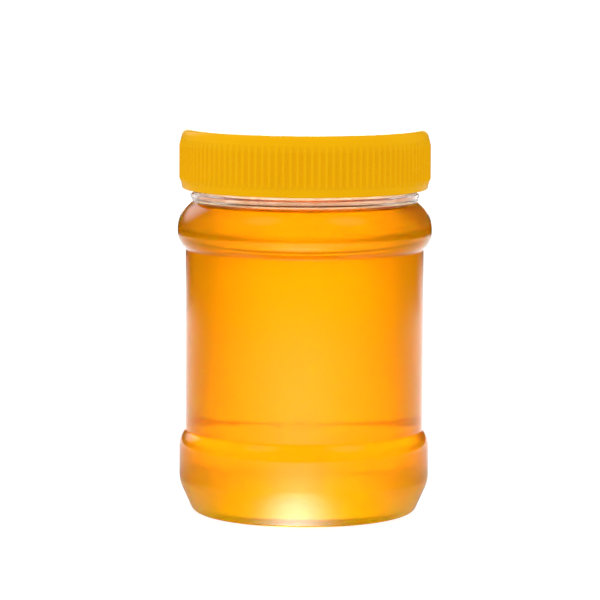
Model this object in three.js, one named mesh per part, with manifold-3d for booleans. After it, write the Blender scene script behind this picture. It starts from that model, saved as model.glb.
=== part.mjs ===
// A honey jar: a clear blow-moulded plastic jar, honey filled to the foot of its neck, and a ribbed yellow screw lid.
// Millimetres, +Z up. The origin is the centre of the ring that the jar stands on.
import * as THREE from "three";
import { mergeVertices } from "three/addons/utils/BufferGeometryUtils.js";
import Module from "manifold-3d";

const wasm = await Module();
wasm.setup();

const degrees = THREE.MathUtils.degToRad;

// Driving dimensions: the whole, and the outside of the jar from the table up to the neck
const HEIGHT = 115;
const SHOULDER_RADIUS = 38;
const PANEL_RADIUS = 35.6;
const FOOT_RADIUS = 37.45;
const BASE_RADIUS = 33.3;
const NECK_RADIUS = 33.7;
const PANEL_BOTTOM = 24.7;
const PANEL_TOP = 79.3;
const NECK_BOTTOM = 93.6;
// Leans of the sloping walls from upright
const FOOT_TAPER = degrees(24.4);
const FOOT_TOP_SLOPE = degrees(39.3);
const SHOULDER_UNDER_SLOPE = degrees(46.8);
const SHOULDER_TOP_SLOPE = degrees(48.1);
// The base: a standing ring round a shallow recess
const RECESS_DEPTH = 2.4;
const RECESS_SLOPE = degrees(52);
const RING_INNER_RADIUS = 29;
// Walls of the jar, and the clearance between pieces that touch
const WALL = 0.8;
const NECK_WALL = 1.6;
const CLEARANCE = 0.3;
// Honey level, in the top of the shoulder
const HONEY_LEVEL = 92.4;
// The bead round the neck, just under the lid
const BEAD_BOTTOM = 94.3;
const BEAD_TOP = 96.2;
const BEAD_DEPTH = 0.45;
const BEAD_BEVEL = 0.35;
// The lid: skirt, ribs and top
const LID_BOTTOM = 97.2;
const LID_INNER_RADIUS = 35.2;
const LID_EDGE_RADIUS = 36.6;
const LID_SKIRT_RADIUS = 36.98;
const LID_TOP_RADIUS = 36.3;
const LID_TOP_THICKNESS = 1.6;
const RIB_COUNT = 112;
const RIB_CREST_RADIUS = 37.55;
const RIB_WIDTH = 1.15;
const RIB_BOTTOM = 99;
const RIB_TOP = 112.4;
const RIB_LOWER_BEVEL = 1.4;
const RIB_UPPER_BEVEL = 2.2;
const RIB_ROOT = 0.5;
// The screw thread between neck and lid, one right-hand start
const THREAD_PITCH = 4.2;
const THREAD_TURNS = 1.25;
const NECK_THREAD_START = 103.8;
const NECK_THREAD_DEPTH = 1;
const LID_THREAD_DEPTH = 0.9;
const THREAD_ROOT_WIDTH = 1.9;
const THREAD_CREST_WIDTH = 0.9;
const THREAD_EMBED = 0.5;
const THREAD_RUN_OUT = degrees(25);
// Fineness of the facets, with the most that an arc's facets may cut inside it
const JAR_SEGMENTS = 40;
const LID_SEGMENTS = RIB_COUNT / 2;
const THREAD_STEPS_PER_TURN = 24;
const ARC_ERROR = 0.1;

const LID_UNDERSIDE = HEIGHT - LID_TOP_THICKNESS;
const RIM_HEIGHT = LID_UNDERSIDE - CLEARANCE;
const NECK_INNER_RADIUS = NECK_RADIUS - NECK_WALL;

// How far a wall that leans by a slope climbs while it moves sideways by a run.
function climb(run, slope) {
  return run / Math.tan(slope);
}

// The unit direction from one corner of an outline to the next.
function heading(from, to) {
  return new THREE.Vector2(to[0] - from[0], to[1] - from[1]).normalize();
}

// The outline through corners [radius, height, rounding], with each rounding as an arc.
function rounded(corners) {
  return corners.flatMap((corner, i) => {
    const at = new THREE.Vector2(corner[0], corner[1]);
    const rounding = corner[2];
    const isEnd = i === 0 || i === corners.length - 1;
    if (!rounding || isEnd) return [at];
    const back = heading(corner, corners[i - 1]);
    const ahead = heading(corner, corners[i + 1]);
    const turn = Math.PI - Math.acos(back.dot(ahead));
    const bisector = back.clone().add(ahead).normalize();
    const centre = at.clone().addScaledVector(bisector, rounding / Math.cos(turn / 2));
    const start = at.clone().addScaledVector(back, rounding * Math.tan(turn / 2));
    const fromAngle = start.clone().sub(centre).angle();
    const clockwise = back.cross(ahead) > 0;
    const toAngle = fromAngle + (clockwise ? -turn : turn);
    const arc = new THREE.ArcCurve(centre.x, centre.y, rounding, fromAngle, toAngle, clockwise);
    const coarsestStep = 2 * Math.acos(1 - ARC_ERROR / rounding);
    return arc.getPoints(Math.ceil(turn / coarsestStep));
  });
}

// The same corners a wall's thickness further in. Outward roundings tighten by it and inward ones open.
function inset(corners, wall) {
  const last = corners.length - 1;
  return corners.map((corner, i) => {
    const before = heading(corners[Math.max(i, 1) - 1], corners[Math.max(i, 1)]);
    const after = heading(corners[Math.min(i, last - 1)], corners[Math.min(i, last - 1) + 1]);
    const mitre = new THREE.Vector2(-before.y - after.y, before.x + after.x);
    mitre.multiplyScalar(wall / (1 + before.dot(after)));
    const rounding = corner[2] && corner[2] - Math.sign(before.cross(after)) * wall;
    return [corner[0] + mitre.x, corner[1] + mitre.y, rounding];
  });
}

// The part of an outline under a level, ended on the level itself.
function under(outline, level) {
  const next = outline.findIndex((point) => point.y > level);
  const [low, high] = [outline[next - 1], outline[next]];
  const cut = low.clone().lerp(high, (level - low.y) / (high.y - low.y));
  return [...outline.slice(0, next), cut];
}

// An outline turned round the upright axis.
function turned(outline, segments) {
  return new THREE.LatheGeometry(outline, segments).rotateX(Math.PI / 2);
}

// A closed geometry as a solid that can be joined.
function solidOf(geometry) {
  const bare = geometry.clone().deleteAttribute("normal").deleteAttribute("uv");
  const merged = mergeVertices(bare);
  const vertProperties = new Float32Array(merged.getAttribute("position").array);
  const triVerts = new Uint32Array(merged.index.array);
  return new wasm.Manifold(new wasm.Mesh({ numProp: 3, vertProperties, triVerts }));
}

// Closed geometries joined into one.
function joined(geometries) {
  const mesh = wasm.Manifold.union(geometries.map(solidOf)).getMesh();
  const geometry = new THREE.BufferGeometry();
  geometry.setAttribute("position", new THREE.BufferAttribute(mesh.vertProperties, mesh.numProp));
  geometry.setIndex(new THREE.BufferAttribute(mesh.triVerts, 1));
  geometry.computeVertexNormals();
  return geometry;
}

// A screw thread's ridge on a wall of some radius. It stands outwards for a positive depth and inwards for a
// negative one, and at both ends it runs out into the wall.
function threadRidge(wallRadius, depth, startHeight) {
  const steps = Math.round(THREAD_TURNS * THREAD_STEPS_PER_TURN);
  const fullTurn = THREAD_TURNS * 2 * Math.PI;
  const root = wallRadius - Math.sign(depth) * THREAD_EMBED;
  const positions = [];
  for (let step = 0; step <= steps; step++) {
    const angle = (fullTurn * step) / steps;
    const height = startHeight + (THREAD_PITCH * angle) / (2 * Math.PI);
    const fromEnd = Math.min(angle, fullTurn - angle);
    const crest = wallRadius + depth * Math.min(1, fromEnd / THREAD_RUN_OUT);
    const section = [
      [root, -THREAD_ROOT_WIDTH / 2],
      [crest, -THREAD_CREST_WIDTH / 2],
      [crest, THREAD_CREST_WIDTH / 2],
      [root, THREAD_ROOT_WIDTH / 2],
    ];
    if (depth < 0) section.reverse();
    for (const [radius, rise] of section) {
      positions.push(radius * Math.cos(angle), radius * Math.sin(angle), height + rise);
    }
  }
  const end = 4 * steps;
  const index = [0, 1, 2, 0, 2, 3, end, end + 2, end + 1, end, end + 3, end + 2];
  for (let corner = 0; corner < end; corner++) {
    const beside = corner % 4 === 3 ? corner - 3 : corner + 1;
    index.push(corner, corner + 4, beside, beside, corner + 4, beside + 4);
  }
  const geometry = new THREE.BufferGeometry();
  geometry.setAttribute("position", new THREE.Float32BufferAttribute(positions, 3));
  return geometry.setIndex(index);
}

// The jar's outside, from the centre of the base to the foot of the neck.
const baseRecess = RING_INNER_RADIUS - RECESS_DEPTH * Math.tan(RECESS_SLOPE);
const bodyCorners = [
  [0, RECESS_DEPTH, 0],
  [baseRecess, RECESS_DEPTH, 3],
  [RING_INNER_RADIUS, 0, 1],
  [BASE_RADIUS, 0, 2.5],
  [FOOT_RADIUS, climb(FOOT_RADIUS - BASE_RADIUS, FOOT_TAPER), 9.5],
  [FOOT_RADIUS, PANEL_BOTTOM - climb(FOOT_RADIUS - PANEL_RADIUS, FOOT_TOP_SLOPE), 7],
  [PANEL_RADIUS, PANEL_BOTTOM, 1],
  [PANEL_RADIUS, PANEL_TOP, 1],
  [SHOULDER_RADIUS, PANEL_TOP + climb(SHOULDER_RADIUS - PANEL_RADIUS, SHOULDER_UNDER_SLOPE), 6.5],
  [SHOULDER_RADIUS, NECK_BOTTOM - climb(SHOULDER_RADIUS - NECK_RADIUS, SHOULDER_TOP_SLOPE), 10.8],
  [NECK_RADIUS, NECK_BOTTOM, 0.5],
];

// The clear jar: the body, its neck with the bead and the screw thread, and the hollow inside.
function jar() {
  const beadRadius = NECK_RADIUS + BEAD_DEPTH;
  const outside = [
    ...bodyCorners,
    [NECK_RADIUS, BEAD_BOTTOM, 0],
    [beadRadius, BEAD_BOTTOM + BEAD_BEVEL, 0],
    [beadRadius, BEAD_TOP - BEAD_BEVEL, 0],
    [NECK_RADIUS, BEAD_TOP, 0],
    [NECK_RADIUS, RIM_HEIGHT, 0.4],
    [NECK_INNER_RADIUS, RIM_HEIGHT, 0],
  ];
  const hollow = inset(bodyCorners, WALL).slice(0, -1);
  const [shoulderRadius, shoulderHeight] = hollow.at(-1);
  const neckFoot = shoulderHeight + climb(shoulderRadius - NECK_INNER_RADIUS, SHOULDER_TOP_SLOPE);
  hollow.push([NECK_INNER_RADIUS, neckFoot, 0.6], [NECK_INNER_RADIUS, RIM_HEIGHT, 0]);
  const outline = [...rounded(outside).slice(0, -1), ...rounded(hollow).reverse()];
  const thread = threadRidge(NECK_RADIUS, NECK_THREAD_DEPTH, NECK_THREAD_START);
  return joined([turned(outline, JAR_SEGMENTS), thread]);
}

// The honey, clear of the wall and level on top.
function honey() {
  const outline = under(rounded(inset(bodyCorners, WALL + CLEARANCE)), HONEY_LEVEL);
  return turned([...outline, new THREE.Vector2(0, HONEY_LEVEL)], JAR_SEGMENTS);
}

// One upright grip rib of the lid, bevelled at both ends and rooted in the skirt.
function gripRib(number) {
  const root = LID_SKIRT_RADIUS - RIB_ROOT;
  const side = new THREE.Shape([
    new THREE.Vector2(root, RIB_BOTTOM),
    new THREE.Vector2(RIB_CREST_RADIUS, RIB_BOTTOM + RIB_LOWER_BEVEL),
    new THREE.Vector2(RIB_CREST_RADIUS, RIB_TOP - RIB_UPPER_BEVEL),
    new THREE.Vector2(root, RIB_TOP),
  ]);
  return new THREE.ExtrudeGeometry(side, { depth: RIB_WIDTH, bevelEnabled: false })
    .rotateX(Math.PI / 2)
    .translate(0, RIB_WIDTH / 2, 0)
    .rotateZ((2 * Math.PI * number) / RIB_COUNT);
}

// The lid: a cap open below, with grip ribs outside and its own thread half a pitch under the neck's.
function lid() {
  const outline = rounded([
    [0, LID_UNDERSIDE, 0],
    [LID_INNER_RADIUS, LID_UNDERSIDE, 0.8],
    [LID_INNER_RADIUS, LID_BOTTOM, 0.3],
    [LID_EDGE_RADIUS, LID_BOTTOM, 0.5],
    [LID_SKIRT_RADIUS, RIB_BOTTOM, 0],
    [LID_SKIRT_RADIUS, RIB_TOP, 0],
    [LID_TOP_RADIUS, HEIGHT, 1],
    [0, HEIGHT, 0],
  ]);
  const ribs = Array.from({ length: RIB_COUNT }, (_, number) => gripRib(number));
  const thread = threadRidge(LID_INNER_RADIUS, -LID_THREAD_DEPTH, NECK_THREAD_START - THREAD_PITCH / 2);
  return joined([turned(outline, LID_SEGMENTS), ...ribs, thread]);
}

const clearPlastic = new THREE.MeshStandardMaterial({
  color: 0xf2f4f2,
  roughness: 0.06,
  metalness: 0,
  transparent: true,
  opacity: 0.3,
});
const goldenHoney = new THREE.MeshStandardMaterial({ color: 0xf7a60c, roughness: 0.08, metalness: 0 });
const yellowPlastic = new THREE.MeshStandardMaterial({ color: 0xeaaa05, roughness: 0.38, metalness: 0 });

const honeyJar = new THREE.Group();
for (const [name, geometry, material] of [
  ["jar", jar(), clearPlastic],
  ["honey", honey(), goldenHoney],
  ["lid", lid(), yellowPlastic],
]) {
  const mesh = new THREE.Mesh(geometry, material);
  mesh.name = name;
  honeyJar.add(mesh);
}

export default honeyJar;
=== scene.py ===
import math

import bpy
from mathutils import Euler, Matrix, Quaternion, Vector


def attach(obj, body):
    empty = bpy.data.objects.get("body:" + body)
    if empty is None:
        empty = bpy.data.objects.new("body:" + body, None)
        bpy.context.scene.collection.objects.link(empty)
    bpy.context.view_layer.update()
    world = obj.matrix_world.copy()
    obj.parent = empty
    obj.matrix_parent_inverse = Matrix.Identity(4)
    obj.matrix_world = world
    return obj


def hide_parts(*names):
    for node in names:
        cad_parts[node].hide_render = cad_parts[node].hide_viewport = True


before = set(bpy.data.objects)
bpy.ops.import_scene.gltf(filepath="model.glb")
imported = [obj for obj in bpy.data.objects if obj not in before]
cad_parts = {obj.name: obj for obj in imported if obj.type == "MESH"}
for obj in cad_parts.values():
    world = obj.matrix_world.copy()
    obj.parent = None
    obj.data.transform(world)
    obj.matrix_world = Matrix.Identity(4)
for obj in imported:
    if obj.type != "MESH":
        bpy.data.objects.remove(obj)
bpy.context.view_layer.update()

# The jar. Clear PET, blown in a mould from a preform, so its body is thin and the rim of its neck thick.
# It stands on a ring round a shallow recess, and a label panel lies sunk between lower band and shoulder.
# The neck carries a bead and, under the lid, a turn and a quarter of screw thread. Honey clings inside it,
# and its film is painted darker round the bead and just above the honey, as painted shade.
MM = 0.001
HEIGHT = 115
SHOULDER_RADIUS = 38
PANEL_RADIUS = 35.6
FOOT_RADIUS = 37.45
BASE_RADIUS = 33.3
NECK_RADIUS = 33.7
PANEL_BOTTOM = 24.7
PANEL_TOP = 79.3
NECK_BOTTOM = 93.6
FOOT_TAPER = math.radians(24.4)
FOOT_TOP_SLOPE = math.radians(34)
SHOULDER_UNDER_SLOPE = math.radians(46.8)
SHOULDER_TOP_SLOPE = math.radians(48.1)
RECESS_DEPTH = 2.4
RECESS_SLOPE = math.radians(52)
RING_INNER_RADIUS = 29
RECESS_ROUNDING = 3
RING_ROUNDING = 1
BASE_ROUNDING = 2.5
FOOT_ROUNDING = 9.5
FOOT_TOP_ROUNDING = 7
PANEL_BOTTOM_ROUNDING = 1.5
PANEL_TOP_ROUNDING = 1
SHOULDER_UNDER_ROUNDING = 6.5
SHOULDER_TOP_ROUNDING = 10.8
NECK_FOOT_ROUNDING = 0.3
RIM_ROUNDING = 0.4
JAR_WALL = 0.8
NECK_WALL = 1.6
NECK_FULL_WALL_HEIGHT = 102
NECK_FOOT_ROWS = 0.5
LID_TOP_THICKNESS = 1.6
RIM_CLEARANCE = 0.3
BEAD_BOTTOM = 94.3
BEAD_TOP = 96.2
BEAD_DEPTH = 0.45
BEAD_BEVEL = 0.35
BEAD_ROUNDING = 0.25
THREAD_PITCH = 4.2
THREAD_TURNS = 1.25
THREAD_START = 103.8
THREAD_ROOT_WIDTH = 1.9
THREAD_CREST_WIDTH = 0.9
THREAD_RUN_OUT = 25 / 360
THREAD_ROWS = 0.3
NECK_THREAD_DEPTH = 1
WALL_TOLERANCE = 0.01
HONEY_LEVEL = 92.4
JAR_SEGMENTS = 192
EDGE_ROW = 0.12
EDGE_ROW_SHARE = 0.3
SHORTEST_SPLIT_RUN = 0.1
SMALLEST_INNER_ROUNDING = 0.15
PET_INDEX = 1.55
HONEY_INDEX = 1.49
CLEAR = (0.985, 0.99, 0.985, 1)
FILM = (0.36, 0.26, 0.125, 1)
BEAD_SHADE_FILM = (0.22, 0.08, 0.025, 1)
EDGE_SHADE_FILM = (0.27, 0.12, 0.03, 1)
FILM_SHARE = (0.9, 1.0)
BEAD_SHADE_FADE = 1.2
BEAD_SHADE_FULL = 0.7
EDGE_SHADE_FADE = 0.8
EDGE_SHADE_FULL = 0.3
NOISE_RANGE = (0.3, 0.7)
PET_WAVES_PER_METRE = 70.0
PET_WAVE_DEPTH = 0.012
PET_ROUGHNESS = (0.1, 0.13)
FILM_STREAKS_PER_METRE = 200.0


def climb(run, slope):
    """How far a wall that leans by a slope climbs while it moves sideways by a run."""
    return run / math.tan(slope)


def rounded(corners, arc_step=math.radians(5), rows=3.0):
    """The outline through corners (radius, height, rounding), with arcs and with straight runs cut into rows.
    A fourth number on a corner is the spacing of the rows that lead to it."""
    outline = []

    def run_to(end, spacing):
        if outline:
            start = outline[-1]
            length = (end - start).length
            if length > SHORTEST_SPLIT_RUN:
                parts = max(1, math.ceil(length / spacing))
                ease = min(EDGE_ROW / length, EDGE_ROW_SHARE / parts)
                stops = [ease, *(part / parts for part in range(1, parts)), 1 - ease]
                outline.extend(start.lerp(end, stop) for stop in stops)
        outline.append(end)

    for i, (radius, height, rounding, *spacing) in enumerate(corners):
        corner = Vector((radius, height))
        row = spacing[0] if spacing else rows
        if not rounding:
            run_to(corner, row)
            continue
        back = (Vector(corners[i - 1][:2]) - corner).normalized()
        ahead = (Vector(corners[i + 1][:2]) - corner).normalized()
        turn = math.pi - back.angle(ahead)
        centre = corner + (back + ahead).normalized() * rounding / math.cos(turn / 2)
        spoke = corner + back * rounding * math.tan(turn / 2) - centre
        side = math.copysign(1, back.x * ahead.y - back.y * ahead.x)
        run_to(centre + spoke, row)
        steps = max(2, math.ceil(turn / arc_step))
        for step in range(1, steps + 1):
            angle = -side * turn * step / steps
            cosine = math.cos(angle)
            sine = math.sin(angle)
            swung = Vector((spoke.x * cosine - spoke.y * sine, spoke.x * sine + spoke.y * cosine))
            outline.append(centre + swung)
    return outline


def inset(corners, wall):
    """The same corners a wall's thickness further in. Outward roundings tighten by it and inward ones open."""
    headings = [(Vector(b[:2]) - Vector(a[:2])).normalized() for a, b in zip(corners, corners[1:])]
    moved = []
    for i, (radius, height, rounding) in enumerate(corners):
        before = headings[max(i - 1, 0)]
        after = headings[min(i, len(headings) - 1)]
        mitre = Vector((-before.y - after.y, before.x + after.x)) * wall / (1 + before.dot(after))
        turn = before.x * after.y - before.y * after.x
        if rounding:
            rounding = max(SMALLEST_INNER_ROUNDING, rounding - math.copysign(wall, turn))
        moved.append((radius + mitre.x, height + mitre.y, rounding))
    return moved


def add_node(tree, kind, inputs=(), **settings):
    """One node of a tree. inputs maps a socket's name or number to a value or to the socket that feeds it."""
    node = tree.nodes.new(kind)
    for name, value in settings.items():
        setattr(node, name, value)
    for key, value in dict(inputs).items():
        if isinstance(value, bpy.types.NodeSocket):
            tree.links.new(value, node.inputs[key])
        else:
            node.inputs[key].default_value = value
    return node


def sums(tree, operation, first, *others):
    """A sum of a tree, such as ADD or MULTIPLY, taken from left to right on plain values or on sockets."""
    if not others:
        return add_node(tree, "ShaderNodeMath", {0: first}, operation=operation).outputs[0]
    for other in others:
        first = add_node(tree, "ShaderNodeMath", {0: first, 1: other}, operation=operation).outputs[0]
    return first


def slide(tree, value, start, end, low=0.0, high=1.0, smooth=True):
    """A value's way from start to end as a way from low to high, which it never leaves."""
    kind = "SMOOTHSTEP" if smooth else "LINEAR"
    inputs = {0: value, 1: start, 2: end, 3: low, 4: high}
    return add_node(tree, "ShaderNodeMapRange", inputs, interpolation_type=kind).outputs[0]


def blend(tree, share, first, second):
    """A colour that goes from a first to a second as a share goes from 0 to 1."""
    return add_node(tree, "ShaderNodeMix", {0: share, 6: first, 7: second}, data_type="RGBA").outputs[2]


def turning_tree(name, sizes=(), marks=()):
    """A tree that turns the rows of an outline, with its marks, round the upright axis, as a mould is turned.
    With it come its named sizes, each point's share of the turn, radius and height, and its outward push."""
    tree = bpy.data.node_groups.new(name, "GeometryNodeTree")
    tree.interface.new_socket("Outline", in_out="INPUT", socket_type="NodeSocketGeometry")
    tree.interface.new_socket("Segments", in_out="INPUT", socket_type="NodeSocketInt")
    tree.interface.new_socket("Finish", in_out="INPUT", socket_type="NodeSocketMaterial")
    for size in sizes:
        tree.interface.new_socket(size, in_out="INPUT", socket_type="NodeSocketFloat")
    tree.interface.new_socket("Piece", in_out="OUTPUT", socket_type="NodeSocketGeometry")
    given = tree.nodes.new("NodeGroupInput").outputs
    outline = given["Outline"]
    points = add_node(tree, "GeometryNodeAttributeDomainSize", {"Geometry": outline}).outputs["Point Count"]
    columns = sums(tree, "ADD", given["Segments"], 1.0)
    grid = add_node(tree, "GeometryNodeMeshGrid", {"Vertices X": columns, "Vertices Y": points})
    index = tree.nodes.new("GeometryNodeInputIndex").outputs[0]
    row = sums(tree, "MODULO", index, points)
    column = sums(tree, "FLOOR", sums(tree, "DIVIDE", index, points))
    share = sums(tree, "DIVIDE", column, given["Segments"])
    angle = sums(tree, "MULTIPLY", share, 2 * math.pi)
    position = tree.nodes.new("GeometryNodeInputPosition").outputs[0]
    spot = add_node(tree, "GeometryNodeSampleIndex", {"Geometry": outline, "Index": row},
                    data_type="FLOAT_VECTOR", domain="POINT")
    tree.links.new(position, spot.inputs["Value"])
    turned = add_node(tree, "ShaderNodeVectorRotate", {"Vector": spot.outputs[0], "Angle": angle},
                      rotation_type="Z_AXIS")
    outward = tree.nodes.new("ShaderNodeCombineXYZ")
    push = add_node(tree, "ShaderNodeVectorRotate", {"Vector": outward.outputs[0], "Angle": angle},
                    rotation_type="Z_AXIS")
    marked = add_node(tree, "GeometryNodeSetPosition", {
        "Geometry": grid.outputs["Mesh"], "Position": turned.outputs[0], "Offset": push.outputs[0]})
    for mark in marks:
        drawn = add_node(tree, "GeometryNodeInputNamedAttribute", {"Name": mark}, data_type="FLOAT")
        picked = add_node(tree, "GeometryNodeSampleIndex", {
            "Geometry": outline, "Value": drawn.outputs[0], "Index": row}, data_type="FLOAT", domain="POINT")
        marked = add_node(tree, "GeometryNodeStoreNamedAttribute", {
            "Geometry": marked.outputs[0], "Name": mark, "Value": picked.outputs[0]},
            data_type="FLOAT", domain="POINT")
    merged = add_node(tree, "GeometryNodeMergeByDistance", {"Geometry": marked.outputs[0], "Distance": 1e-6})
    smooth = add_node(tree, "GeometryNodeSetShadeSmooth", {"Geometry": merged.outputs[0]})
    real = add_node(tree, "GeometryNodeRealizeInstances", {"Geometry": smooth.outputs[0]})
    finished = add_node(tree, "GeometryNodeSetMaterial", {
        "Geometry": real.outputs[0], "Material": given["Finish"]})
    tree.links.new(finished.outputs[0], tree.nodes.new("NodeGroupOutput").inputs[0])
    place = add_node(tree, "ShaderNodeSeparateXYZ", {0: spot.outputs[0]}).outputs
    return tree, given, share, place["X"], place["Z"], outward.inputs["X"]


THREAD_SIZES = ("Thread Wall", "Thread Start", "Thread Depth")


def thread_ridge(tree, given, share, radius, height):
    """How far a one-start screw thread pushes each point of a wall. It runs out into the wall at both ends."""
    climbed = sums(tree, "DIVIDE", sums(tree, "SUBTRACT", height, given["Thread Start"]), THREAD_PITCH * MM)
    lap = sums(tree, "ROUND", sums(tree, "SUBTRACT", climbed, share))
    along = sums(tree, "ADD", share, lap)
    aside = sums(tree, "ABSOLUTE", sums(tree, "SUBTRACT", climbed, along))
    crest_share = THREAD_CREST_WIDTH / 2 / THREAD_PITCH
    root_share = THREAD_ROOT_WIDTH / 2 / THREAD_PITCH
    ridge = slide(tree, aside, root_share, crest_share, smooth=False)
    run_in = slide(tree, along, 0.0, THREAD_RUN_OUT, smooth=False)
    run_out = slide(tree, along, THREAD_TURNS, THREAD_TURNS - THREAD_RUN_OUT, smooth=False)
    off_wall = sums(tree, "ABSOLUTE", sums(tree, "SUBTRACT", radius, given["Thread Wall"]))
    on_wall = sums(tree, "LESS_THAN", off_wall, WALL_TOLERANCE * MM)
    return sums(tree, "MULTIPLY", given["Thread Depth"], on_wall, ridge, run_in, run_out)


def make_piece(name, outline, tree, values, marks=()):
    """A plain mesh of an outline, given in mm, that a tree has worked on. values go to its named inputs.
    marks holds, by name, a number for each point of the outline, which the mesh keeps for its material."""
    mesh = bpy.data.meshes.new(name)
    mesh.from_pydata([(point.x * MM, 0, point.y * MM) for point in outline], [], [])
    for mark, numbers in dict(marks).items():
        attribute = mesh.attributes.new(mark, "FLOAT", "POINT")
        attribute.data.foreach_set("value", [float(number) for number in numbers])
    piece = bpy.data.objects.new(name, mesh)
    bpy.context.scene.collection.objects.link(piece)
    modifier = piece.modifiers.new("making", "NODES")
    modifier.node_group = tree
    for socket in tree.interface.items_tree:
        if socket.name in values:
            modifier[socket.identifier] = values[socket.name]
    depsgraph = bpy.context.evaluated_depsgraph_get()
    plain = bpy.data.meshes.new_from_object(piece.evaluated_get(depsgraph), depsgraph=depsgraph)
    piece.modifiers.clear()
    piece.data = plain
    bpy.data.meshes.remove(mesh)
    return piece


def new_material(name):
    """A material's tree, with its Principled shader and its output."""
    material = bpy.data.materials.new(name)
    material.use_nodes = True
    tree = material.node_tree
    shader = next(node for node in tree.nodes if node.type == "BSDF_PRINCIPLED")
    output = next(node for node in tree.nodes if node.type == "OUTPUT_MATERIAL")
    return material, tree, shader, output


def moulded_skin_group():
    """A group for what a mould leaves on plastic: slow waves and a fine grain."""
    group = bpy.data.node_groups.new("moulded_skin", "ShaderNodeTree")
    group.interface.new_socket("Place", in_out="INPUT", socket_type="NodeSocketVector")
    given = group.nodes.new("NodeGroupInput")
    handed = group.nodes.new("NodeGroupOutput")
    for mark, detail in (("Waves", 1.0), ("Grain", 3.0)):
        group.interface.new_socket(f"{mark} Scale", in_out="INPUT", socket_type="NodeSocketFloat")
        group.interface.new_socket(mark, in_out="OUTPUT", socket_type="NodeSocketFloat")
        noise = add_node(group, "ShaderNodeTexNoise", {
            "Vector": given.outputs["Place"], "Scale": given.outputs[f"{mark} Scale"], "Detail": detail})
        group.links.new(noise.outputs[0], handed.inputs[mark])
    return group


lid_underside = HEIGHT - LID_TOP_THICKNESS
rim_height = lid_underside - RIM_CLEARANCE
recess_radius = RING_INNER_RADIUS - RECESS_DEPTH * math.tan(RECESS_SLOPE)
neck_inner_radius = NECK_RADIUS - NECK_WALL
bead_radius = NECK_RADIUS + BEAD_DEPTH
bead_middle = (BEAD_BOTTOM + BEAD_TOP) / 2
foot_height = climb(FOOT_RADIUS - BASE_RADIUS, FOOT_TAPER)
foot_top = PANEL_BOTTOM - climb(FOOT_RADIUS - PANEL_RADIUS, FOOT_TOP_SLOPE)
bulge_bottom = PANEL_TOP + climb(SHOULDER_RADIUS - PANEL_RADIUS, SHOULDER_UNDER_SLOPE)
bulge_top = NECK_BOTTOM - climb(SHOULDER_RADIUS - NECK_RADIUS, SHOULDER_TOP_SLOPE)
body_corners = [
    (0, RECESS_DEPTH, 0),
    (recess_radius, RECESS_DEPTH, RECESS_ROUNDING),
    (RING_INNER_RADIUS, 0, RING_ROUNDING),
    (BASE_RADIUS, 0, BASE_ROUNDING),
    (FOOT_RADIUS, foot_height, FOOT_ROUNDING),
    (FOOT_RADIUS, foot_top, FOOT_TOP_ROUNDING),
    (PANEL_RADIUS, PANEL_BOTTOM, PANEL_BOTTOM_ROUNDING),
    (PANEL_RADIUS, PANEL_TOP, PANEL_TOP_ROUNDING),
    (SHOULDER_RADIUS, bulge_bottom, SHOULDER_UNDER_ROUNDING),
    (SHOULDER_RADIUS, bulge_top, SHOULDER_TOP_ROUNDING),
    (NECK_RADIUS, NECK_BOTTOM, NECK_FOOT_ROUNDING),
]
outside = [
    *body_corners,
    (NECK_RADIUS, BEAD_BOTTOM, BEAD_ROUNDING),
    (bead_radius, BEAD_BOTTOM + BEAD_BEVEL, BEAD_ROUNDING),
    (bead_radius, BEAD_TOP - BEAD_BEVEL, BEAD_ROUNDING),
    (NECK_RADIUS, BEAD_TOP, BEAD_ROUNDING),
    (NECK_RADIUS, rim_height, RIM_ROUNDING, THREAD_ROWS),
    (neck_inner_radius, rim_height, 0),
]
hollow = inset(body_corners, JAR_WALL)[:-1]
neck_foot_radius = NECK_RADIUS - JAR_WALL
neck_foot_height = hollow[-1][1] + climb(hollow[-1][0] - neck_foot_radius, SHOULDER_TOP_SLOPE)
hollow += [
    (neck_foot_radius, neck_foot_height, NECK_FOOT_ROUNDING + JAR_WALL, NECK_FOOT_ROWS),
    (neck_inner_radius, NECK_FULL_WALL_HEIGHT, 0),
    (neck_inner_radius, rim_height, 0),
]
outer_wall = rounded(outside)[:-1]
inner_wall = rounded(hollow)[::-1]
above_honey = [point.y > HONEY_LEVEL for point in inner_wall]
jar_marks = {
    "meets_air": [True] * len(outer_wall) + above_honey,
    "honey_film": [False] * len(outer_wall) + above_honey,
}

clear_pet, tree, shader, _ = new_material("clear_pet")
moulded_skin = moulded_skin_group()
place = tree.nodes.new("ShaderNodeTexCoord").outputs["Object"]
skin = add_node(tree, "ShaderNodeGroup", {
    "Place": place, "Waves Scale": PET_WAVES_PER_METRE, "Grain Scale": FILM_STREAKS_PER_METRE},
    node_tree=moulded_skin).outputs
height = add_node(tree, "ShaderNodeSeparateXYZ", {0: place}).outputs["Z"]
# Painted shade: the honey film is darker in a band round the bead's middle and just above the honey's level.
off_bead = sums(tree, "ABSOLUTE", sums(tree, "SUBTRACT", height, bead_middle * MM))
in_bead_shade = slide(tree, off_bead, BEAD_SHADE_FADE * MM, BEAD_SHADE_FULL * MM)
edge_shade_fade = (HONEY_LEVEL + EDGE_SHADE_FADE) * MM
edge_shade_full = (HONEY_LEVEL + EDGE_SHADE_FULL) * MM
in_edge_shade = slide(tree, height, edge_shade_fade, edge_shade_full)
film_and_shade_colour = blend(tree, in_edge_shade, blend(tree, in_bead_shade, FILM, BEAD_SHADE_FILM), EDGE_SHADE_FILM)
filmed = add_node(tree, "ShaderNodeAttribute", attribute_name="honey_film").outputs["Fac"]
film = sums(tree, "MULTIPLY", filmed, slide(tree, skin["Grain"], *NOISE_RANGE, *FILM_SHARE))
tree.links.new(blend(tree, film, CLEAR, film_and_shade_colour), shader.inputs["Base Color"])
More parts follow.
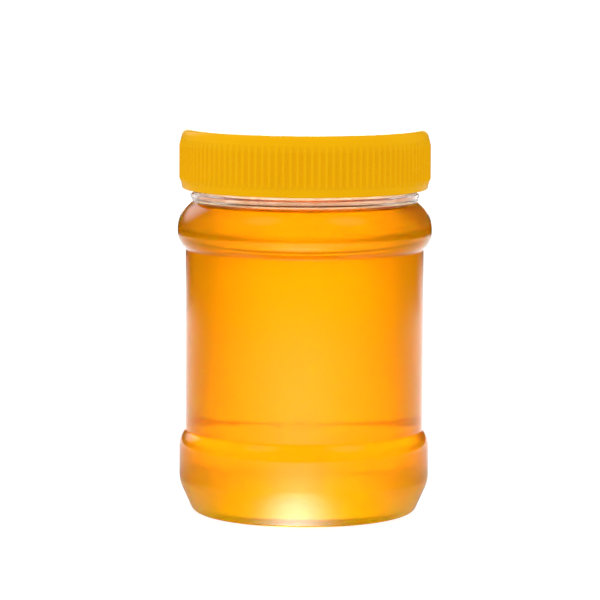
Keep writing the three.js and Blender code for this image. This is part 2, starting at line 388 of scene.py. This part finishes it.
tree.links.new(slide(tree, skin["Waves"], *NOISE_RANGE, *PET_ROUGHNESS), shader.inputs["Roughness"])
bump = add_node(tree, "ShaderNodeBump", {"Distance": PET_WAVE_DEPTH * MM, "Height": skin["Waves"]})
tree.links.new(bump.outputs[0], shader.inputs["Normal"])
air = add_node(tree, "ShaderNodeAttribute", attribute_name="meets_air").outputs["Fac"]
index = slide(tree, air, 0.0, 1.0, PET_INDEX / HONEY_INDEX, PET_INDEX, smooth=False)
tree.links.new(index, shader.inputs["IOR"])
shader.inputs["IOR"].default_value = PET_INDEX
shader.inputs["Transmission Weight"].default_value = 1

jar_tree, given, share, radius, height, pushed = turning_tree("turned_jar", THREAD_SIZES, jar_marks)
jar_tree.links.new(thread_ridge(jar_tree, given, share, radius, height), pushed)
jar = make_piece("jar_shell", outer_wall + inner_wall, jar_tree, {
    "Segments": JAR_SEGMENTS, "Finish": clear_pet, "Thread Wall": NECK_RADIUS * MM,
    "Thread Start": THREAD_START * MM, "Thread Depth": NECK_THREAD_DEPTH * MM}, jar_marks)
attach(jar, "root")
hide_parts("jar")

# The honey. Golden and slightly hazy, poured to the top of the shoulder, where it lies level and creeps a
# little up the wall. Its colour is painted deeper towards the top, as shade under the lid, is deeper in the
# lower band, and is painted paler in the foot, as a glow of the light through it. It reaches just into the wall,
# because honey wets the plastic and leaves no air there.
WALL_REACH = 0.1
CREEP_HEIGHT = 0.5
CREEP_WIDTH = 0.9
CREEP_ROWS = (0.1, 0.25, 0.45, 0.7, 1.0, 1.4, 1.9, 2.6, 4, 7, 12, 18, 25)
GOLD = (1, 0.55, 0.005, 1)
SHADE_AND_TONE_AMBER = (1, 0.5, 0.003, 1)
STRAW_GLOW = (1, 0.65, 0.005, 1)
TOP_SHADE_FROM = 72
TOP_SHADE_TO = 84
FOOT_GLOW_FROM = 13
FOOT_GLOW_TO = 3
FOOT_BAND_HEIGHT = 20
FOOT_BAND_FADE = 6
FOOT_BAND_FULL = 3.3
CLOUDS_PER_METRE = 45.0
CLOUD_SHARE = (0.0, 0.15)
WETTED_INDEX = 1.001
SURFACE_INDEX = 1.02
HONEY_TINT = (0.996, 0.882, 0.2, 1)
HONEY_TINT_DENSITY = 100
honey_corners = [*body_corners[:-1], (NECK_RADIUS, NECK_BOTTOM, 0)]
creep_top = HONEY_LEVEL + CREEP_HEIGHT
honey_side = []
for point in rounded(inset(honey_corners, JAR_WALL - WALL_REACH)):
    if point.y > creep_top:
        last = honey_side[-1]
        honey_side.append(last.lerp(point, (creep_top - last.y) / (point.y - last.y)))
        break
    honey_side.append(point)
edge = honey_side[-1].x
honey_top = []
for inward in (*CREEP_ROWS, edge):
    creep = CREEP_HEIGHT * math.exp(-inward / CREEP_WIDTH)
    honey_top.append(Vector((edge - inward, HONEY_LEVEL + creep)))

golden_honey, tree, shader, output = new_material("golden_honey")
place = tree.nodes.new("ShaderNodeTexCoord").outputs["Object"]
height = add_node(tree, "ShaderNodeSeparateXYZ", {0: place}).outputs["Z"]
clouds = add_node(tree, "ShaderNodeTexNoise", {
    "Vector": place, "Scale": CLOUDS_PER_METRE, "Detail": 1.0}).outputs[0]
# Painted shade: the honey turns deeper amber towards the top, under the lid. Random clouds also deepen it.
top_shade = slide(tree, height, TOP_SHADE_FROM * MM, TOP_SHADE_TO * MM)
off_band = sums(tree, "ABSOLUTE", sums(tree, "SUBTRACT", height, FOOT_BAND_HEIGHT * MM))
in_band = slide(tree, off_band, FOOT_BAND_FADE * MM, FOOT_BAND_FULL * MM)
shade_and_clouds = sums(tree, "ADD", top_shade, in_band, slide(tree, clouds, *NOISE_RANGE, *CLOUD_SHARE))
# Painted glow: the honey turns paler towards the foot, standing in for the backlight that shines through it
# there.
pale = slide(tree, height, FOOT_GLOW_FROM * MM, FOOT_GLOW_TO * MM)
tree.links.new(blend(tree, pale, blend(tree, shade_and_clouds, GOLD, SHADE_AND_TONE_AMBER), STRAW_GLOW), shader.inputs["Base Color"])
air = add_node(tree, "ShaderNodeAttribute", attribute_name="meets_air").outputs["Fac"]
index = slide(tree, air, 0.0, 1.0, WETTED_INDEX, SURFACE_INDEX, smooth=False)
tree.links.new(index, shader.inputs["IOR"])
shader.inputs["IOR"].default_value = HONEY_INDEX
shader.inputs["Roughness"].default_value = 0.0
shader.inputs["Transmission Weight"].default_value = 0.55
shader.inputs["Subsurface Weight"].default_value = 1
shader.inputs["Subsurface Radius"].default_value = (1, 0.35, 0.05)
shader.inputs["Subsurface Scale"].default_value = 0.05
absorption = add_node(tree, "ShaderNodeVolumeAbsorption", {
    "Color": HONEY_TINT, "Density": HONEY_TINT_DENSITY})
tree.links.new(absorption.outputs[0], output.inputs["Volume"])

honey_marks = {"meets_air": [False] * len(honey_side) + [True] * len(honey_top)}
honey_tree, *_ = turning_tree("turned_honey", (), honey_marks)
honey = make_piece("honey_fill", honey_side + honey_top, honey_tree,
                   {"Segments": JAR_SEGMENTS, "Finish": golden_honey}, honey_marks)
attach(honey, "root")
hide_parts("honey")

# The lid. Injection-moulded yellow polypropylene, screwed down over the neck. Upright grip ribs run round its
# skirt between a smooth band above and a slightly narrower one below, and its flat top has a rounded edge.
LID_BOTTOM = 97.2
LID_INNER_RADIUS = 35.2
LID_EDGE_RADIUS = 36.6
LID_SKIRT_RADIUS = 36.98
LID_TOP_RADIUS = 36.3
LID_INNER_ROUNDING = 0.8
LID_LIP_ROUNDING = 0.3
LID_EDGE_ROUNDING = 0.5
LID_TOP_ROUNDING = 2
LID_FLAT_ROWS = 9
LID_ARC_STEP = math.radians(15)
RIB_COUNT = 112
RIB_CREST_RADIUS = 37.55
RIB_BOTTOM = 99
RIB_TOP = 112.4
RIB_LOWER_BEVEL = 1.4
RIB_UPPER_BEVEL = 2.2
RIB_FLANK = 0.6
STEPS_PER_RIB = 8
LID_THREAD_DEPTH = 0.9
DEEP_YELLOW = (0.895, 0.442, 0.001, 1)
WARM_YELLOW = (0.905, 0.455, 0.001, 1)
LID_FLOW_PER_METRE = 90.0
LID_GRAIN_PER_METRE = 1600.0
LID_GRAIN_DEPTH = 0.004
LID_ROUGHNESS = (0.21, 0.28)
lid_outline = rounded([
    (0, lid_underside, 0),
    (LID_INNER_RADIUS, lid_underside, LID_INNER_ROUNDING, LID_FLAT_ROWS),
    (LID_INNER_RADIUS, LID_BOTTOM, LID_LIP_ROUNDING, THREAD_ROWS),
    (LID_EDGE_RADIUS, LID_BOTTOM, LID_EDGE_ROUNDING),
    (LID_SKIRT_RADIUS, RIB_BOTTOM, 0),
    (LID_SKIRT_RADIUS, RIB_BOTTOM + RIB_LOWER_BEVEL, 0),
    (LID_SKIRT_RADIUS, RIB_TOP - RIB_UPPER_BEVEL, 0),
    (LID_SKIRT_RADIUS, RIB_TOP, 0),
    (LID_TOP_RADIUS, HEIGHT, LID_TOP_ROUNDING),
    (0, HEIGHT, 0, LID_FLAT_ROWS),
], arc_step=LID_ARC_STEP)

RIB_SIZES = ("Rib Count", "Rib Height", "Rib Bottom", "Rib Top", "Lower Bevel", "Upper Bevel", "Rib Wall")
lid_tree, given, share, radius, height, pushed = turning_tree("ribbed_lid", THREAD_SIZES + RIB_SIZES)
around = sums(lid_tree, "MULTIPLY", share, given["Rib Count"], 2 * math.pi)
crest = slide(lid_tree, sums(lid_tree, "COSINE", around), -RIB_FLANK, RIB_FLANK)
low_end = sums(lid_tree, "ADD", given["Rib Bottom"], given["Lower Bevel"])
high_end = sums(lid_tree, "SUBTRACT", given["Rib Top"], given["Upper Bevel"])
rise = slide(lid_tree, height, given["Rib Bottom"], low_end, smooth=False)
fall = slide(lid_tree, height, given["Rib Top"], high_end, smooth=False)
outer = sums(lid_tree, "GREATER_THAN", radius, given["Rib Wall"])
rib = sums(lid_tree, "MULTIPLY", given["Rib Height"], crest, rise, fall, outer)
ridge = thread_ridge(lid_tree, given, share, radius, height)
lid_tree.links.new(sums(lid_tree, "ADD", rib, ridge), pushed)

yellow_plastic, tree, shader, _ = new_material("yellow_plastic")
place = tree.nodes.new("ShaderNodeTexCoord").outputs["Object"]
skin = add_node(tree, "ShaderNodeGroup", {
    "Place": place, "Waves Scale": LID_FLOW_PER_METRE, "Grain Scale": LID_GRAIN_PER_METRE},
    node_tree=moulded_skin).outputs
flow = slide(tree, skin["Waves"], *NOISE_RANGE)
tree.links.new(blend(tree, flow, DEEP_YELLOW, WARM_YELLOW), shader.inputs["Base Color"])
tree.links.new(slide(tree, skin["Grain"], *NOISE_RANGE, *LID_ROUGHNESS), shader.inputs["Roughness"])
bump = add_node(tree, "ShaderNodeBump", {"Distance": LID_GRAIN_DEPTH * MM, "Height": skin["Grain"]})
tree.links.new(bump.outputs[0], shader.inputs["Normal"])
shader.inputs["Specular IOR Level"].default_value = 0.035

lid = make_piece("ribbed_lid", lid_outline, lid_tree, {
    "Segments": RIB_COUNT * STEPS_PER_RIB, "Finish": yellow_plastic, "Thread Wall": LID_INNER_RADIUS * MM,
    "Thread Start": (THREAD_START - THREAD_PITCH / 2) * MM, "Thread Depth": -LID_THREAD_DEPTH * MM,
    "Rib Count": float(RIB_COUNT), "Rib Height": (RIB_CREST_RADIUS - LID_SKIRT_RADIUS) * MM,
    "Rib Bottom": RIB_BOTTOM * MM, "Rib Top": RIB_TOP * MM, "Lower Bevel": RIB_LOWER_BEVEL * MM,
    "Upper Bevel": RIB_UPPER_BEVEL * MM, "Rib Wall": (LID_SKIRT_RADIUS - WALL_TOLERANCE) * MM})
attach(lid, "root")
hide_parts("lid")

# The table: a pale luminous sheet, honey-coloured where the jar stands. A glow behind the jar lights what passes
# through it. The gloss mirrors a darker table, lit behind the jar, a little beside it and in a spot before its
# foot. Reaches are in metres from the jar's axis, and turns are angles round it from the middle of that spot.
WHITE = (1, 1, 1, 1)
FLOOR_SIDE = 12
FLOOR_DROP = 0.0001
BACK_GLOW = 5.2
SIDE_GLOW = 1.45
FAR_GLOW = 1.8
BACK_GLOW_WIDTH = math.radians(45)
FAR_GLOW_ANGLES = (math.radians(70), math.radians(110))
GLOW_END_REACH = (0.95, 1.1)
GLOW_END_SHARE = 0.1
SPOT_FROM_FRONT = math.radians(-4)
SPOT_START = 0.033
SPOT_GAP = 0.0005
SPOT_WIDE = 7.8
SPOT_WIDE_FALL = 0.055
SPOT_TIGHT = 4.0
SPOT_TIGHT_FALL = 0.005
SPOT_STRETCH = (1.2, 1.55)
SPOT_SPREAD_REACH = (0.036, 0.3)
SPOT_SPREAD = (math.radians(10), math.radians(27))
STREAK_REACH = (0.1, 0.3)
STREAK_LIGHT = 0.45
NEAR_REACH = (0.05, 0.12)
NEAR_LIGHT = (0.03, 0.1)
BESIDE_TURN = (math.radians(40), math.radians(70))
BESIDE_REACH = (0.09, 0.05)
BESIDE_LIGHT = 0.25
BEHIND_TURN = (math.radians(90), math.radians(170))
BEHIND_REACH = (0.05, 0.2)
BEHIND_LIGHT = 1.15
BEHIND_SHARE = (0.45, 1.0)
FAR_BACK_TURN = (math.radians(135), math.radians(160))
FAR_BACK_REACH = (0.85, 0.55)
FAR_BACK_LIGHT = 1.1
SIDE_TURN = (math.radians(80), math.radians(131))
LIT_REACH = (0.38, 0.5)
DARK_REACH = (0.59, 0.6)
UNDER_JAR_REACH = (0.0342, 0.0326)
HONEY_LIGHT = (0.8, 0.62, 0.1, 1)
SPREAD_LIGHT = 0.9
SEEN_LIGHT = 0.85
SEEN_PAINT = (0.3, 0.3, 0.3, 1)


def backlight(tree, x, y):
    """The glow that shows through the jar: strongest straight behind it and weakest beside it.
    Its angles are counted from straight behind."""
    azimuth = sums(tree, "ARCTAN2", sums(tree, "ABSOLUTE", x), y)
    behind = slide(tree, azimuth, 0.0, BACK_GLOW_WIDTH, BACK_GLOW, SIDE_GLOW)
    beyond = slide(tree, azimuth, *FAR_GLOW_ANGLES, 0.0, FAR_GLOW - SIDE_GLOW)
    return sums(tree, "ADD", behind, beyond)


def by_ray(tree, mirrored, spread, through):
    """The strength for light that is mirrored by gloss, spread by a dull surface, or let through."""
    path = tree.nodes.new("ShaderNodeLightPath").outputs
    dull = add_node(tree, "ShaderNodeMix", {0: path["Is Diffuse Ray"], 2: mirrored, 3: spread}).outputs[0]
    return add_node(tree, "ShaderNodeMix", {0: path["Is Transmission Ray"], 2: dull, 3: through}).outputs[0]


def fading(tree, value, length):
    """What falls from 1 by a factor of e over each length."""
    return sums(tree, "EXPONENT", sums(tree, "DIVIDE", value, -length))


def front_spot(tree, reach, turn):
    """A spot of light on the table before the foot, with a fainter streak beyond it, for the foot to mirror.
    The spot shows only in rays about as long as its way from the foot, so not in steep or slanting ones."""
    away = sums(tree, "SUBTRACT", reach, SPOT_START)
    length = tree.nodes.new("ShaderNodeLightPath").outputs["Ray Length"]
    stretch = sums(tree, "DIVIDE", length, sums(tree, "ADD", away, SPOT_GAP))
    wide = sums(tree, "MULTIPLY", fading(tree, away, SPOT_WIDE_FALL), SPOT_WIDE)
    tight = sums(tree, "MULTIPLY", fading(tree, away, SPOT_TIGHT_FALL), SPOT_TIGHT)
    low_ray = slide(tree, stretch, *SPOT_STRETCH, 1.0, 0.0)
    spot = sums(tree, "MULTIPLY", sums(tree, "ADD", wide, tight), low_ray)
    light = sums(tree, "ADD", spot, slide(tree, reach, *STREAK_REACH, 0.0, STREAK_LIGHT))
    off = sums(tree, "DIVIDE", turn, slide(tree, reach, *SPOT_SPREAD_REACH, *SPOT_SPREAD))
    return sums(tree, "MULTIPLY", light, sums(tree, "EXPONENT", sums(tree, "MULTIPLY", off, off, -0.5)))


half = FLOOR_SIDE / 2
floor_corners = [(-half, -half, 0), (half, -half, 0), (half, half, 0), (-half, half, 0)]
floor_mesh = bpy.data.meshes.new("floor")
floor_mesh.from_pydata(floor_corners, [], [(0, 1, 2, 3)])
floor = bpy.data.objects.new("floor", floor_mesh)
bpy.context.scene.collection.objects.link(floor)
floor.location.z = -FLOOR_DROP
floor_paint, tree, shader, output = new_material("floor_paint")
floor_paint.cycles.emission_sampling = "NONE"
tree.nodes.remove(shader)
place = tree.nodes.new("ShaderNodeTexCoord").outputs["Object"]
spot = add_node(tree, "ShaderNodeSeparateXYZ", {0: place}).outputs
reach = add_node(tree, "ShaderNodeVectorMath", {0: place}, operation="LENGTH").outputs["Value"]
from_front = sums(tree, "ARCTAN2", spot["X"], sums(tree, "MULTIPLY", spot["Y"], -1.0))
turn = sums(tree, "ABSOLUTE", sums(tree, "SUBTRACT", from_front, SPOT_FROM_FRONT))
near = slide(tree, reach, *NEAR_REACH, *NEAR_LIGHT)
beside = slide(tree, turn, *BESIDE_TURN, 0.0, BESIDE_LIGHT)
beside = sums(tree, "MULTIPLY", beside, slide(tree, reach, *BESIDE_REACH))
behind = slide(tree, turn, *BEHIND_TURN, 0.0, BEHIND_LIGHT)
behind = sums(tree, "MULTIPLY", behind, slide(tree, reach, *BEHIND_REACH, *BEHIND_SHARE))
table = sums(tree, "ADD", near, beside, front_spot(tree, reach, turn), behind)
dark_reach = slide(tree, turn, *SIDE_TURN, *DARK_REACH)
lit_reach = slide(tree, turn, *SIDE_TURN, *LIT_REACH)
table = sums(tree, "MULTIPLY", table, slide(tree, reach, dark_reach, lit_reach))
far_back = slide(tree, turn, *FAR_BACK_TURN, 0.0, FAR_BACK_LIGHT)
far_back = sums(tree, "MULTIPLY", far_back, slide(tree, reach, *FAR_BACK_REACH))
mirrored = sums(tree, "MAXIMUM", table, far_back)
glow_end = slide(tree, reach, *GLOW_END_REACH, 1.0, GLOW_END_SHARE)
through = sums(tree, "MULTIPLY", backlight(tree, spot["X"], spot["Y"]), glow_end)
glow_colour = blend(tree, slide(tree, reach, *UNDER_JAR_REACH), WHITE, HONEY_LIGHT)
glow = add_node(tree, "ShaderNodeEmission", {
    "Color": glow_colour, "Strength": by_ray(tree, mirrored, SPREAD_LIGHT, through)})
seen = add_node(tree, "ShaderNodeEmission", {"Color": WHITE, "Strength": SEEN_LIGHT})
paint = add_node(tree, "ShaderNodeBsdfDiffuse", {"Color": SEEN_PAINT})
shown = add_node(tree, "ShaderNodeAddShader", {0: seen.outputs[0], 1: paint.outputs[0]})
from_camera = tree.nodes.new("ShaderNodeLightPath").outputs["Is Camera Ray"]
mixed = add_node(tree, "ShaderNodeMixShader", {0: from_camera, 1: glow.outputs[0], 2: shown.outputs[0]})
tree.links.new(mixed.outputs[0], output.inputs["Surface"])
floor_mesh.materials.append(floor_paint)

# The studio round it: a white back wall and soft light from all sides, a little more from the left. The gloss
# mirrors a dim room, a bright strip low behind the jar and three feathered soft boxes. A box has its azimuth
# from the front, its elevation and its half width in degrees, and its strength.
ROOM_LIGHT = 0.03
STRIP_LIGHT = 5.0
STRIP_SIDE = (0.965, 0.995)
STRIP_TOP = (0.35, 0.1)
SOFT_BOXES = {
    "left": (-53, 50, 18, 0.35),
    "right": (53, 50, 18, 0.4),
    "back left": (-146, 22.3, 20, 1.5),
}
SPREAD_RIGHT_TO_LEFT = (1.03, 1.23)
OVERHEAD = (0.25, 0.6)
OVERHEAD_SHARE = 0.75
world = bpy.data.worlds.new("studio")
bpy.context.scene.world = world
world.use_nodes = True
world.cycles.sampling_method = "NONE"
tree = world.node_tree
backdrop = next(node for node in tree.nodes if node.type == "BACKGROUND")
backdrop.inputs["Color"].default_value = WHITE
ray = tree.nodes.new("ShaderNodeTexCoord").outputs["Generated"]
direction = add_node(tree, "ShaderNodeSeparateXYZ", {0: ray}).outputs
strip = slide(tree, direction["Y"], *STRIP_SIDE, 0.0, STRIP_LIGHT)
strip = sums(tree, "MULTIPLY", strip, slide(tree, direction["Z"], *STRIP_TOP))
mirrored = sums(tree, "ADD", strip, ROOM_LIGHT)
for azimuth, elevation, half_width, light in SOFT_BOXES.values():
    tilt = Euler((math.radians(elevation), 0, math.radians(180 + azimuth)))
    aim = tilt.to_matrix() @ Vector((0, 1, 0))
    facing = add_node(tree, "ShaderNodeVectorMath", {0: ray, 1: aim}, operation="DOT_PRODUCT").outputs["Value"]
    box = slide(tree, facing, math.cos(math.radians(half_width)), 1.0, 0.0, light)
    mirrored = sums(tree, "ADD", mirrored, box)
spread = slide(tree, direction["X"], 0.0, -1.0, *SPREAD_RIGHT_TO_LEFT, smooth=False)
overhead = slide(tree, direction["Z"], *OVERHEAD, 1.0, OVERHEAD_SHARE)
through = sums(tree, "MULTIPLY", backlight(tree, direction["X"], direction["Y"]), overhead)
from_camera = tree.nodes.new("ShaderNodeLightPath").outputs["Is Camera Ray"]
seen = add_node(tree, "ShaderNodeMix", {0: from_camera, 2: by_ray(tree, mirrored, spread, through), 3: 1.0})
tree.links.new(seen.outputs[0], backdrop.inputs["Strength"])

# The camera: a long lens about a metre away, a little above the lid and looking down by 6.5 degrees. Light may
# bounce often, because it crosses many walls of plastic and honey before it leaves the jar.
CAMERA_DISTANCE = 1.064
CAMERA_HEIGHT = 0.1847
CAMERA_PITCH = math.radians(6.5)
CAMERA_YAW = math.radians(0.072)
CAMERA_ROLL = math.radians(0.25)
FOCAL_LENGTH = 214.2
SENSOR_WIDTH = 36
LIGHT_BOUNCES = 64
lens = bpy.data.cameras.new("camera")
lens.lens = FOCAL_LENGTH
lens.sensor_width = SENSOR_WIDTH
camera = bpy.data.objects.new("camera", lens)
camera.location = (0, -CAMERA_DISTANCE, CAMERA_HEIGHT)
camera.rotation_mode = "QUATERNION"
level_view = Euler((math.pi / 2 - CAMERA_PITCH, 0, CAMERA_YAW)).to_quaternion()
camera.rotation_quaternion = level_view @ Quaternion((0, 0, 1), CAMERA_ROLL)
bpy.context.scene.collection.objects.link(camera)
bpy.context.scene.camera = camera
bpy.context.scene.view_settings.view_transform = "Standard"
for kind in ("max_bounces", "glossy_bounces", "transmission_bounces"):
    setattr(bpy.context.scene.cycles, kind, LIGHT_BOUNCES)
